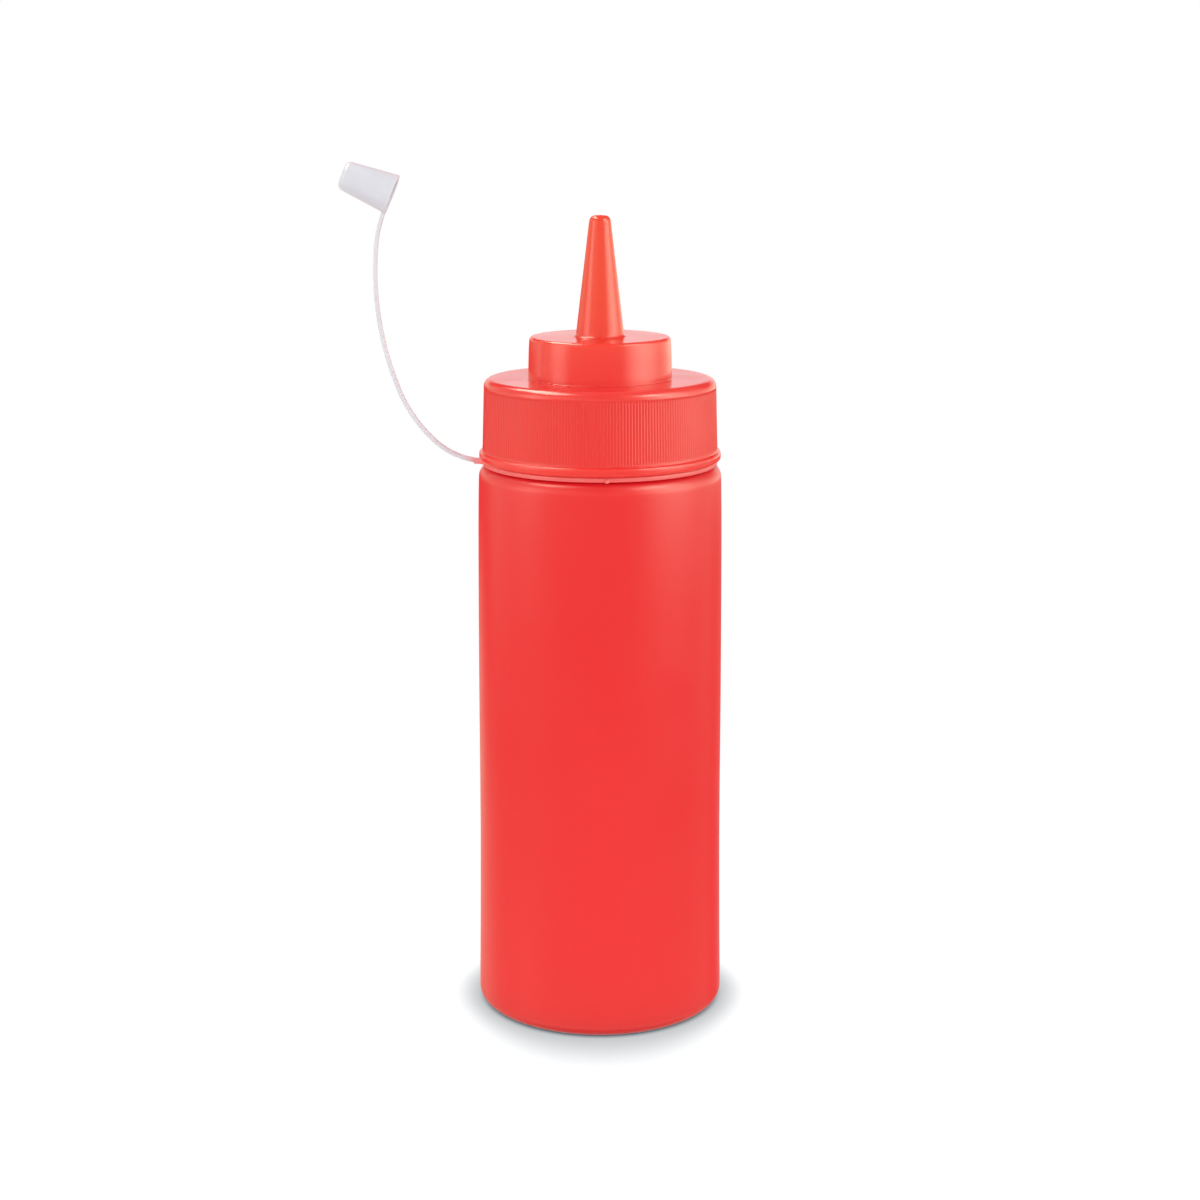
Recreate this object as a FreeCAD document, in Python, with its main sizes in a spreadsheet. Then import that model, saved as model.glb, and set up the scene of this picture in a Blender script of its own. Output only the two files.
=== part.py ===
"""Catering squeeze bottle in three pieces: a blow-moulded bottle, a ribbed screw lid
with a nozzle, and a one-piece tether whose ring sits under the lid and whose strap
holds the tip cap. Millimetres; the bottle stands on Z = 0, its axis is Z and the
strap runs out to -X."""
import FreeCAD, Part
import os
import Sketcher
from FreeCAD import Placement, Vector
from math import atan2, cos, pi, sin, sqrt

# the strap's stretches, each of one bend, from the ring to the tip cap
STRETCHES = ("root", "lower", "upper", "head")
# places nearer to each other than this are the same place
CLOSE = 1e-3

SIZES = [
    # the bottle
    ("body_radius", 35.5, "outside of the bottle at its base"),
    ("body_draft", 1.0, "how much narrower the bottle is at its shoulder"),
    ("shoulder_height", 158.2, "flat top of the shoulder above the table"),
    ("shoulder_round", 3.5, "rounding between side and shoulder"),
    ("base_round", 3.0, "rounding between side and base"),
    ("standing_width", 3.0, "flat ring that the bottle stands on"),
    ("pushup_depth", 2.0, "height of the shallow pan pressed up into the base"),
    ("neck_clearance", 0.4, "radial gap between neck and lid"),
    # the lid
    ("lid_height", 22.9, "lid from its foot to its flat top"),
    ("lid_inset", 0.4, "bead inside the bottle's side"),
    ("lid_round", 2.2, "rounding of the lid's top edge"),
    ("bead_overhang", 0.9, "bead beyond the skirt"),
    ("bead_height", 2.3, "upright face of the bead"),
    ("bead_slope", 0.3, "height over which the bead runs into the skirt"),
    ("bead_round", 0.8, "rounding of the bead's edges"),
    ("skirt_draft", 0.6, "how much narrower the skirt is at its top"),
    ("skirt_wall", 2.0, "wall of the skirt at its foot"),
    ("roof_thickness", 1.8, "lid's flat top over the neck"),
    ("turret_radius", 20.2, "step on the lid, at its foot"),
    ("turret_draft", 0.3, "how much narrower the step is at its top"),
    ("turret_height", 11.65, "step above the lid's flat top"),
    ("turret_round", 1.0, "rounding of the step's top edge"),
    ("turret_fillet", 0.4, "fillet at the step's foot"),
    ("nozzle_radius", 6.8, "cone of the nozzle at its foot"),
    ("tip_radius", 2.85, "cone of the nozzle at its tip"),
    ("nozzle_height", 33.5, "nozzle above the step"),
    ("nozzle_fillet", 1.0, "fillet at the nozzle's foot"),
    ("tip_round", 1.8, "rounding of the tip"),
    ("outlet_radius", 0.8, "hole in the tip"),
    ("outlet_depth", 16.0, "length of the hole"),
    ("rib_count", 240, "grip ribs round the skirt"),
    ("rib_depth", 0.22, "from the ribs' tips to the valleys between them"),
    ("rib_relief", 0.03, "ribs' tips inside the plain skirt"),
    ("rib_margin", 0.2, "plain skirt left above and below the ribs"),
    # the tether
    ("ring_inset", 1.0, "ring inside the bead"),
    ("ring_thickness", 1.3, "height of the ring"),
    ("ring_gap", 0.3, "radial gap between ring and neck"),
    ("ring_play", 0.1, "gap between ring and lid"),
    ("web_length", 2.6, "how far the web at the strap's root leaves the ring"),
    ("web_round", 2.5, "fillet between web and ring"),
    ("strap_width", 3.0, "strap across"),
    ("strap_thickness", 1.05, "strap through"),
    ("strap_root", 1.0, "strap's start inside the ring's edge"),
    ("strap_bite", 0.6, "strap's end inside the tip cap's wall"),
    ("root_bend", 21.2, "radius of the strap's first stretch"),
    ("lower_bend", 40.2, "radius of its second stretch"),
    ("upper_bend", 86.5, "radius of its third stretch"),
    ("head_bend", 35.1, "radius of its last stretch"),
    ("root_turn", 43.0, "degrees that the first stretch turns"),
    ("lower_turn", 25.6, "degrees that the second stretch turns"),
    ("upper_turn", 26.8, "degrees that the third stretch turns"),
    ("head_turn", 16.6, "degrees that the last stretch turns"),
    ("cap_clearance", 0.2, "gap between tip cap and nozzle when the cap is on"),
    ("cap_depth", 13.8, "depth of the tip cap's inside"),
    ("cap_wall", 0.95, "wall of the tip cap"),
    ("cap_round", 1.5, "rounding of the tip cap's closed end"),
    ("gate_radius", 0.6, "moulding pip left on the ring"),
    ("gate_angle", 3.3, "degrees from the ring's front to the pip"),
]

doc = FreeCAD.newDocument("SqueezeBottle")
sheet = doc.addObject("Spreadsheet::Sheet", "Sizes")
for row, (alias, value, meaning) in enumerate(SIZES, start=1):
    sheet.set(f"A{row}", alias)
    sheet.set(f"B{row}", str(value))
    sheet.setAlias(f"B{row}", alias)
    sheet.set(f"C{row}", meaning)
doc.recompute()


# ---- sizes that follow from the sheet, as expressions on it ----

def cell(alias):
    """The sheet's cell with this alias, as an expression."""
    return f"Sizes.{alias}"


def total(*terms):
    """The terms added up; a term that starts with a minus sign is taken off."""
    return "(" + " + ".join(f"({term})" for term in terms) + ")"


def number(expression):
    """What an expression is worth now."""
    return float(sheet.evalExpression(expression))


shoulder_radius = total(cell("body_radius"), "-" + cell("body_draft"))
bead_radius = total(shoulder_radius, "-" + cell("lid_inset"))
skirt_foot_radius = total(bead_radius, "-" + cell("bead_overhang"))
skirt_top_radius = total(skirt_foot_radius, "-" + cell("skirt_draft"))
socket_radius = total(skirt_foot_radius, "-" + cell("skirt_wall"))
neck_radius = total(socket_radius, "-" + cell("neck_clearance"))

lid_foot = total(cell("shoulder_height"), cell("ring_thickness"), cell("ring_play"))
skirt_foot = total(lid_foot, cell("bead_height"), cell("bead_slope"))
lid_top = total(lid_foot, cell("lid_height"))
roof = total(lid_top, "-" + cell("roof_thickness"))
turret_top = total(lid_top, cell("turret_height"))
turret_top_radius = total(cell("turret_radius"), "-" + cell("turret_draft"))
tip = total(turret_top, cell("nozzle_height"))
nozzle_taper = f"(({cell('nozzle_radius')} - {cell('tip_radius')}) / {cell('nozzle_height')})"

ring_radius = total(bead_radius, "-" + cell("ring_inset"))
ring_bore = total(neck_radius, cell("ring_gap"))
ring_middle = total(cell("shoulder_height"), cell("ring_thickness") + " / 2")

cap_end_bore = total(cell("tip_radius"), cell("cap_clearance"))
cap_mouth_bore = total(cap_end_bore, cell("cap_depth") + " * " + nozzle_taper)
cap_end_radius = total(cap_end_bore, cell("cap_wall"))
cap_mouth_radius = total(cap_mouth_bore, cell("cap_wall"))
cap_length = total(cell("cap_depth"), cell("cap_wall"))


def strap_joints():
    """Where the strap's four stretches start and end, as (x, z, turned so far).
    The strap leaves the ring towards -X and each stretch turns it further up, so a
    stretch of radius R that turns it from a to b moves it by R (sin a - sin b) in x
    and by R (cos a - cos b) in z."""
    x_place = "-" + total(ring_radius, "-" + cell("strap_root"))
    z_place = ring_middle
    turned = "0"
    joints = [(x_place, z_place, turned)]
    for stretch in STRETCHES:
        bend = cell(stretch + "_bend")
        after = total(turned, cell(stretch + "_turn"))
        x_place = total(x_place, f"{bend} * (sin({turned}) - sin({after}))")
        z_place = total(z_place, f"{bend} * (cos({turned}) - cos({after}))")
        turned = after
        joints.append((x_place, z_place, turned))
    return joints


# ---- sketches ----

def new_body(label):
    body = doc.addObject("PartDesign::Body", label.title().replace(" ", ""))
    body.Label = label
    body.Placement = Placement()
    return body


def origin_part(body, role):
    """The body's own origin plane or axis with this role."""
    return next(part for part in body.Origin.OriginFeatures if part.Role == role)


def new_sketch(body, name, role, lift="0"):
    """An empty sketch on an origin plane of the body, lifted off it by an expression."""
    sketch = body.newObject("Sketcher::SketchObject", name)
    sketch.AttachmentSupport = [(origin_part(body, role), "")]
    sketch.MapMode = "FlatFace"
    sketch.setExpression("AttachmentOffset.Base.z", lift)
    return sketch


def bind(sketch, constraint, expression):
    """Adds a constraint whose value is an expression on the sheet."""
    index = sketch.addConstraint(constraint)
    name = f"size_{index}"
    sketch.renameConstraint(index, name)
    sketch.setExpression(f"Constraints.{name}", expression)


def pin_point(sketch, curve, end, place):
    """Fixes one end of a curve at a pair of expressions."""
    for kind, expression, axis in (("DistanceX", place[0], -2), ("DistanceY", place[1], -1)):
        if expression == "0":
            sketch.addConstraint(Sketcher.Constraint("PointOnObject", curve, end, axis))
        else:
            value = number(expression)
            bind(sketch, Sketcher.Constraint(kind, -1, 1, curve, end, value), expression)


def add_line(sketch, start, stop):
    """A line; returns its number and which of its ends lie at start and at stop."""
    return sketch.addGeometry(Part.LineSegment(start, stop), False), 1, 2


def add_arc(sketch, start, stop, radius):
    """An arc with its centre on the left of the way from start to stop, or on the right
    when radius is negative; returns the same as add_line."""
    half = (stop - start) * 0.5
    to_centre = sqrt(radius ** 2 - half.Length ** 2)
    if radius < 0:
        to_centre = -to_centre
    left = Vector(-half.y, half.x, 0).normalize()
    centre = start + half + left * to_centre
    angles = [atan2(point.y - centre.y, point.x - centre.x) for point in (start, stop)]
    if radius < 0:
        angles.reverse()
    if angles[1] < angles[0]:
        angles[1] += 2 * pi
    circle = Part.Circle(centre, Vector(0, 0, 1), abs(radius))
    curve = sketch.addGeometry(Part.ArcOfCircle(circle, *angles), False)
    return (curve, 1, 2) if radius > 0 else (curve, 2, 1)


def draw(sketch, corners, radii=None, closed=True):
    """A chain of lines through corners, which are pairs of expressions. radii gives the
    signed radius of the arcs, as expressions, by the number of the side."""
    radii = radii or {}
    places = [Vector(number(x), number(y), 0) for x, y in corners]
    sides = len(corners) if closed else len(corners) - 1
    curves = []
    for side in range(sides):
        start, stop = places[side], places[(side + 1) % len(places)]
        if side in radii:
            curves.append(add_arc(sketch, start, stop, number(radii[side])))
        else:
            curves.append(add_line(sketch, start, stop))
    for before, after in zip(curves, curves[1:]):
        joint = Sketcher.Constraint("Coincident", before[0], before[2], after[0], after[1])
        sketch.addConstraint(joint)
    if closed:
        last, first = curves[-1], curves[0]
        joint = Sketcher.Constraint("Coincident", last[0], last[2], first[0], first[1])
        sketch.addConstraint(joint)
    for side, (curve, start_end, stop_end) in enumerate(curves):
        pin_point(sketch, curve, start_end, corners[side])
        if side in radii:
            radius = number(radii[side])
            size = radii[side] if radius > 0 else f"-({radii[side]})"
            bind(sketch, Sketcher.Constraint("Radius", curve, abs(radius)), size)
    if not closed:
        pin_point(sketch, curves[-1][0], curves[-1][2], corners[-1])


def draw_circle(sketch, radius):
    """A circle of this radius round the sketch's origin."""
    circle = Part.Circle(Vector(0, 0, 0), Vector(0, 0, 1), number(radius))
    curve = sketch.addGeometry(circle, False)
    sketch.addConstraint(Sketcher.Constraint("Coincident", curve, 3, -1, 1))
    bind(sketch, Sketcher.Constraint("Radius", curve, number(radius)), radius)


# ---- features ----

def revolve(body, name, sketch, axis="V_Axis"):
    feature = body.newObject("PartDesign::Revolution", name)
    feature.Profile = sketch
    feature.ReferenceAxis = (sketch, [axis])
    feature.Angle = 360
    doc.recompute()
    return feature


def pad(body, name, sketch, length):
    feature = body.newObject("PartDesign::Pad", name)
    feature.Profile = sketch
    feature.setExpression("Length", length)
    doc.recompute()
    return feature


def fillet(body, name, edges, radius):
    """Rounds these edges of the body's last feature."""
    base = body.Tip
    feature = body.newObject("PartDesign::Fillet", name)
    feature.Base = (base, edges)
    feature.setExpression("Radius", radius)
    doc.recompute()
    return feature


def circles(shape, radius):
    """(name, centre) of the circular edges of this radius."""
    found = []
    for index, edge in enumerate(shape.Edges, start=1):
        if edge.Degenerated or not isinstance(edge.Curve, Part.Circle):
            continue
        if abs(edge.Curve.Radius - number(radius)) < CLOSE:
            found.append((f"Edge{index}", edge.Curve.Center))
    return found


def rims(shape, radius, height):
    """Names of the circular edges round Z with this radius and height."""
    level = number(height)
    return [name for name, centre in circles(shape, radius) if abs(centre.z - level) < CLOSE]


# ---- the bottle: one revolved profile, solid because the pack is shut ----

def make_bottle():
    body = new_body("bottle")
    height, depth = cell("shoulder_height"), cell("pushup_depth")
    pan_radius = total(cell("body_radius"), "-" + cell("base_round"), "-" + cell("standing_width"))
    corners = [
        ("0", depth),
        (total(pan_radius, "-" + depth), depth),
        (pan_radius, "0"),
        (cell("body_radius"), "0"),
        (shoulder_radius, height),
        (neck_radius, height),
        (neck_radius, roof),
        ("0", roof),
    ]
    sketch = new_sketch(body, "BottleProfile", "XZ_Plane")
    draw(sketch, corners)
    turned = revolve(body, "BottleTurned", sketch)
    shoulder = rims(turned.Shape, shoulder_radius, height)
    rounded = fillet(body, "ShoulderRounded", shoulder, cell("shoulder_round"))
    base = rims(rounded.Shape, cell("body_radius"), "0")
    fillet(body, "BaseRounded", base, cell("base_round"))
    return body


# ---- the lid: revolved profile, rounded, then ribbed ----

def lid_corners():
    """Half section of the lid from its foot, over the nozzle and back through the socket
    for the neck. The step and nozzle are solid but for the hole in the tip."""
    outlet_floor = total(tip, "-" + cell("outlet_depth"))
    return [
        (socket_radius, lid_foot),
        (bead_radius, lid_foot),
        (bead_radius, total(lid_foot, cell("bead_height"))),
        (skirt_foot_radius, skirt_foot),
        (skirt_top_radius, lid_top),
        (cell("turret_radius"), lid_top),
        (turret_top_radius, turret_top),
        (cell("nozzle_radius"), turret_top),
        (cell("tip_radius"), tip),
        (cell("outlet_radius"), tip),
        (cell("outlet_radius"), outlet_floor),
        ("0", outlet_floor),
        ("0", roof),
        (socket_radius, roof),
    ]


def round_lid(body):
    """Every rounding of the lid, as (name, rim radius, rim height, radius of rounding)."""
    roundings = [
        ("LidEdge", skirt_top_radius, lid_top, "lid_round"),
        ("BeadFoot", bead_radius, lid_foot, "bead_round"),
        ("BeadTop", bead_radius, total(lid_foot, cell("bead_height")), "bead_round"),
        ("TurretFoot", cell("turret_radius"), lid_top, "turret_fillet"),
        ("TurretEdge", turret_top_radius, turret_top, "turret_round"),
        ("NozzleFoot", cell("nozzle_radius"), turret_top, "nozzle_fillet"),
        ("TipEdge", cell("tip_radius"), tip, "tip_round"),
    ]
    for name, radius, height, rounding in roundings:
        fillet(body, name, rims(body.Tip.Shape, radius, height), cell(rounding))


def rib_wire(name, height):
    """A closed zigzag round Z that follows the skirt at a height: rib_count tips just
    inside the plain skirt, and a valley rib_depth further in after each."""
    rise = (number(height) - number(skirt_foot)) / (number(lid_top) - number(skirt_foot))
    tips = number(skirt_foot_radius) - number(cell("skirt_draft")) * rise
    tips -= number(cell("rib_relief"))
    valleys = tips - number(cell("rib_depth"))
    count = int(number(cell("rib_count")))
    points = []
    for step in range(2 * count):
        radius = valleys if step % 2 else tips
        turn = pi * step / count
        points.append(Vector(radius * cos(turn), radius * sin(turn), number(height)))
    wire = doc.addObject("Part::Feature", name)
    wire.Shape = Part.makePolygon(points + points[:1])
    return wire


def rib_lid(body):
    """Cuts the grip ribs: the skirt keeps what lies inside a ruled loft between the
    zigzag at its foot and the one at its head."""
    foot = total(skirt_foot, cell("rib_margin"))
    head = total(lid_top, "-" + cell("lid_round"), "-" + cell("rib_margin"))
    ribbed = doc.addObject("Part::Loft", "RibbedForm")
    ribbed.Sections = [rib_wire("RibFoot", foot), rib_wire("RibHead", head)]
    ribbed.Solid = True
    ribbed.Ruled = True
    blank = doc.addObject("Part::Cylinder", "RibBlank")
    blank.setExpression("Radius", bead_radius)
    blank.setExpression("Height", total(head, "-" + foot))
    blank.setExpression("Placement.Base.z", foot)
    waste = doc.addObject("Part::Cut", "RibWaste")
    waste.Base, waste.Tool = blank, ribbed
    lid = doc.addObject("Part::Cut", "RibbedLid")
    lid.Base, lid.Tool = body, waste
    doc.recompute()
    return lid


def make_lid():
    body = new_body("turned lid")
    sketch = new_sketch(body, "LidProfile", "XZ_Plane")
    draw(sketch, lid_corners())
    revolve(body, "LidTurned", sketch)
    round_lid(body)
    lid = rib_lid(body)
    lid.Label = "lid"
    return lid


# ---- the tether: ring, web, strap and tip cap moulded in one ----

def make_ring(body):
    sketch = new_sketch(body, "RingOutline", "XY_Plane", cell("shoulder_height"))
    draw_circle(sketch, ring_radius)
    draw_circle(sketch, ring_bore)
    pad(body, "Ring", sketch, cell("ring_thickness"))


def make_web(body):
    """The flat root of the strap, flared into the ring by a fillet on either side."""
    near = "-" + total(ring_radius, "-" + cell("strap_root"))
    far = "-" + total(ring_radius, cell("web_length"))
    side = cell("strap_width") + " / 2"
    sketch = new_sketch(body, "WebOutline", "XY_Plane", cell("shoulder_height"))
    draw(sketch, [(near, side), (far, side), (far, "-" + side), (near, "-" + side)])
    web = pad(body, "Web", sketch, cell("ring_thickness"))
    corners = []
    for index, edge in enumerate(web.Shape.Edges, start=1):
        start, stop = edge.Vertexes[0].Point, edge.Vertexes[-1].Point
        across = abs(start.x - stop.x) + abs(start.y - stop.y)
        upright = across < CLOSE < abs(start.z - stop.z)
        on_ring = abs(sqrt(start.x ** 2 + start.y ** 2) - number(ring_radius)) < CLOSE
        on_side = abs(abs(start.y) - number(side)) < CLOSE
        if upright and on_ring and on_side:
            corners.append(f"Edge{index}")
    fillet(body, "WebFlare", corners, cell("web_round"))


def make_strap(body, joints):
    path = new_sketch(body, "StrapPath", "XZ_Plane")
    radii = {side: "-" + cell(stretch + "_bend") for side, stretch in enumerate(STRETCHES)}
    draw(path, [joint[:2] for joint in joints], radii, closed=False)
    start_x, start_z, _ = joints[0]
    section = new_sketch(body, "StrapSection", "YZ_Plane", start_x)
    half_width, half_thickness = cell("strap_width") + " / 2", cell("strap_thickness") + " / 2"
    low, high = total(start_z, "-" + half_thickness), total(start_z, half_thickness)
    wide, narrow = half_width, "-" + half_width
    draw(section, [(wide, low), (wide, high), (narrow, high), (narrow, low)])
    doc.recompute()
    strap = body.newObject("PartDesign::AdditivePipe", "Strap")
    strap.Profile = section
    strap.Spine = (path, [])
    doc.recompute()


def make_cap(body, joints):
    """The hollow tip cap. Its mouth lies in the plane of the strap's outer face, as it is
    moulded, and its inside follows the nozzle's cone. In the sketch X runs out of the
    mouth and Y is the radius."""
    end_x, end_z, turned = joints[-1]
    reach = total(cap_mouth_radius, "-" + cell("strap_bite"))
    lift = cell("strap_thickness") + " / 2"
    centre_x = total(end_x, f"{lift} * sin({turned})", f"-{reach} * cos({turned})")
    centre_z = total(end_z, f"{lift} * cos({turned})", f"{reach} * sin({turned})")
    sketch = new_sketch(body, "CapProfile", "XZ_Plane")
    sketch.setExpression("AttachmentOffset.Base.x", centre_x)
    sketch.setExpression("AttachmentOffset.Base.y", centre_z)
    sketch.setExpression("AttachmentOffset.Rotation.Angle", total("90", "-" + turned))
    depth, length = "-" + cell("cap_depth"), "-" + cap_length
    draw(sketch, [
        ("0", cap_mouth_bore),
        ("0", cap_mouth_radius),
        (length, cap_end_radius),
        (length, "0"),
        (depth, "0"),
        (depth, cap_end_bore),
    ])
    cap = revolve(body, "Cap", sketch, "H_Axis")
    rim = [name for name, _ in circles(cap.Shape, cap_end_radius)]
    fillet(body, "CapEnd", rim, cell("cap_round"))


def make_gate(body):
    """The small pip where the ring was cut off its runner."""
    pip = body.newObject("PartDesign::AdditiveSphere", "Gate")
    pip.AttachmentSupport = [(origin_part(body, "XY_Plane"), "")]
    pip.MapMode = "FlatFace"
    pip.setExpression("Radius", cell("gate_radius"))
    pip.setExpression("AttachmentOffset.Base.x", f"{ring_radius} * sin({cell('gate_angle')})")
    pip.setExpression("AttachmentOffset.Base.y", f"-{ring_radius} * cos({cell('gate_angle')})")
    pip.setExpression("AttachmentOffset.Base.z", ring_middle)
    doc.recompute()


def make_tether():
    body = new_body("tether")
    joints = strap_joints()
    make_ring(body)
    make_web(body)
    make_strap(body, joints)
    make_cap(body, joints)
    make_gate(body)
    return body


# ---- build and write ----

pieces = [make_bottle(), make_lid(), make_tether()]
doc.recompute()

for item in doc.Objects:
    if "Invalid" in item.State or "Error" in item.State:
        raise RuntimeError(f"{item.Label} did not build: {item.State}")
os.makedirs("parts", exist_ok=True)
for piece in pieces:
    shape = piece.Shape
    if shape.isNull() or not shape.isValid() or len(shape.Solids) != 1:
        raise RuntimeError(f"{piece.Label} is not one valid solid")
    shape.exportStep(f"parts/{piece.Label}.step")
    print(f"{piece.Label}: {shape.Volume / 1000:.1f} ml, {len(shape.Faces)} faces")
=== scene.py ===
# %% [markdown]
# # A squeeze bottle for sauce
# The bottle is blown in low-density polyethylene and coloured red all through. Its lid
# is injection moulded in the same plastic, with a ribbed skirt, a step and a nozzle. A
# third moulding, in natural plastic, is a ring, a strap and a tip cap in one.
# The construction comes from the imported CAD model, which is the frame. Here each piece
# gets its final surface and finish, worked out with numpy in metres.

import bpy
import numpy as np
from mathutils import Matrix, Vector


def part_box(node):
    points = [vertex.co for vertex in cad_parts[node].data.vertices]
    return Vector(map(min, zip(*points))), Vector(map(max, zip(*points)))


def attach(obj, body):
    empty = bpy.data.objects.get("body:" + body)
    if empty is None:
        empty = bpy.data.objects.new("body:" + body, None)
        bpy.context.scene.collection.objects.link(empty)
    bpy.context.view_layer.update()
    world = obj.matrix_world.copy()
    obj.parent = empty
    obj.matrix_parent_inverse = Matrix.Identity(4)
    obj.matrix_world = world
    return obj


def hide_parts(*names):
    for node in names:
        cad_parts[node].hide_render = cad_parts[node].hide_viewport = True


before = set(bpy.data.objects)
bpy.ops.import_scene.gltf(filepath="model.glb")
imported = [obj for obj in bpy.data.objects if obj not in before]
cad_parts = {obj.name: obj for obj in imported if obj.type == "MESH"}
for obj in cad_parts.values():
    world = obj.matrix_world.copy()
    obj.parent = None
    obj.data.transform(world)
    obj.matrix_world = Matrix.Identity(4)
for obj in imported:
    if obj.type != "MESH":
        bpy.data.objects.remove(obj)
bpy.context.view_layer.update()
bottle_low, bottle_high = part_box("bottle")
lid_low, lid_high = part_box("lid")
MM = 0.001

# %% [markdown]
# ## From arrays to a piece
# Every surface below is a grid of points: rows run along a profile or a path, columns
# run round it. A grid could be skinned with a modifier, but four index arrays do the
# same in one step, and the seam and the poles are closed by construction, so that no
# doubles need merging afterwards.

# %% Grid helpers
def wrapped_quads(rows, columns, start=0, closed=False):
    """Quads between neighbouring rows of a grid whose last column joins its first, and
    whose last row joins its first if closed. Seen from outside, a quad runs along its
    row and then up."""
    row = np.arange(rows if closed else rows - 1)[:, None]
    above = (row + 1) % rows * columns
    row = row * columns
    here = np.arange(columns)[None, :]
    after = (here + 1) % columns
    corners = [row + here, row + after, above + after, above + here]
    return np.stack(corners, -1).reshape(-1, 4) + start


def pole_fan(pole, first, columns, upward):
    """Triangles that close a row of points with one pole point."""
    here = first + np.arange(columns)
    after = first + (np.arange(columns) + 1) % columns
    sides = [here, after] if upward else [after, here]
    return np.stack([np.full(columns, pole), *sides], -1)


def make_piece(name, points, *face_arrays):
    """A smooth mesh object at the origin from points and arrays of faces."""
    mesh = bpy.data.meshes.new(name)
    faces = [face for array in face_arrays for face in array.tolist()]
    mesh.from_pydata(points.tolist(), [], faces)
    mesh.shade_smooth()
    piece = bpy.data.objects.new(name, mesh)
    bpy.context.scene.collection.objects.link(piece)
    low, high = points.min(0) / MM, points.max(0) / MM
    print(f"{name}: {len(points)} points, {len(faces)} faces,", low.round(1), high.round(1))
    return piece


# %% [markdown]
# ## Profiles with rounded corners
# A turned part is drawn as half a section: radius across, height up. Real mouldings
# have a radius on every corner, and that radius is what catches the light. A Bevel
# modifier could add it, but it would also touch the ribs. So the profile itself gets
# the arcs: on each corner the arc's centre lies on the bisector, and the arc is sampled
# evenly in angle.

# %% Profile helper
def rounded_profile(corners, arc_steps=8, side_steps=4):
    """Half section through corners of (radius, height, rounding). A corner with
    rounding R gives way to an arc of radius R that touches both sides. Its centre lies
    R / sin(half the corner's angle) along the bisector. Sides get extra points near
    their ends, so that shading stays flat on flat stretches."""
    spots = np.array([corner[:2] for corner in corners])
    roundings = [corner[2] for corner in corners]
    stretches = [spots[:1]]
    for before, spot, after, rounding in zip(spots, spots[1:], spots[2:], roundings[1:]):
        if rounding == 0:
            stretches.append(spot[None])
            continue
        back = (before - spot) / np.linalg.norm(before - spot)
        ahead = (after - spot) / np.linalg.norm(after - spot)
        half_angle = np.arccos(np.clip(back @ ahead, -1, 1)) / 2
        middle = (back + ahead) / np.linalg.norm(back + ahead)
        centre = spot + middle * rounding / np.sin(half_angle)
        touch = rounding / np.tan(half_angle)
        start, stop = spot + back * touch - centre, spot + ahead * touch - centre
        sweep = np.arctan2(start[0] * stop[1] - start[1] * stop[0], start @ stop)
        turn = np.linspace(0, sweep, arc_steps + 1)
        across = np.array([-start[1], start[0]])
        arc = np.cos(turn)[:, None] * start + np.sin(turn)[:, None] * across
        stretches.append(centre + arc)
    stretches.append(spots[-1:])
    ease = (1 - np.cos(np.linspace(0, np.pi, side_steps + 2)[1:-1])) / 2
    rows = []
    for one, following in zip(stretches, stretches[1:]):
        rows.append(one)
        rows.append(one[-1] + ease[:, None] * (following[0] - one[-1]))
    rows.append(stretches[-1])
    return np.concatenate(rows)


def turned_points(profile, columns, relief=None):
    """Turns a profile round Z: x = r cos a, y = r sin a. relief(angle, radius, height),
    if given, is added to the radius."""
    angle = np.linspace(0, 2 * np.pi, columns, endpoint=False)[None, :]
    radius = np.repeat(profile[:, :1], columns, 1)
    height = np.repeat(profile[:, 1:], columns, 1)
    if relief is not None:
        radius = radius + relief(angle, radius, height)
    grid = np.stack([radius * np.cos(angle), radius * np.sin(angle), height], -1)
    return grid.reshape(-1, 3)


# %% [markdown]
# ## The bottle
# A blown bottle is straight-sided, but never quite: the side narrows a little upwards
# and draws in slightly where the wall cooled last. The base has a standing ring round a
# shallow pan, with the ridge of the pinched-off parison across it. Two parting lines
# of the mould run up the sides.
# The pack is shut, so the shape is closed: the neck ends under the lid's roof.

# %% Bottle sizes
FOOT_RADIUS = 35.49 * MM
SHOULDER_RADIUS = 34.5 * MM
SHOULDER = 158.2 * MM
SHOULDER_ROUND = 3.5 * MM
BASE_ROUND = 3.0 * MM
STANDING_WIDTH = 3.0 * MM
PAN_DEPTH = 2.0 * MM
PAN_ROUND = 0.8 * MM
NECK_RADIUS = 30.8 * MM
NECK_ROUND = 0.4 * MM
NECK_FILLET = 0.3 * MM
SIDE_SAG = 0.25 * MM
SAG_HEIGHT = 52 * MM
SAG_REACH = 34 * MM
SAG_FADE = 12 * MM
CROWN_DROP = 0.35 * MM
CROWN_REACH = 8 * MM
PARTING_RISE = 0.03 * MM
PARTING_WIDTH = 0.35 * MM
PINCH_DEPTH = 0.6 * MM
PINCH_WIDTH = 0.9 * MM
PINCH_FADE = 3.0 * MM
PINCH_MARGIN = 1.0 * MM
BOTTLE_COLUMNS = 360
print(f"bottle: foot {FOOT_RADIUS / MM:.1f} mm, CAD foot {bottle_high.x / MM:.1f} mm")

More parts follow.
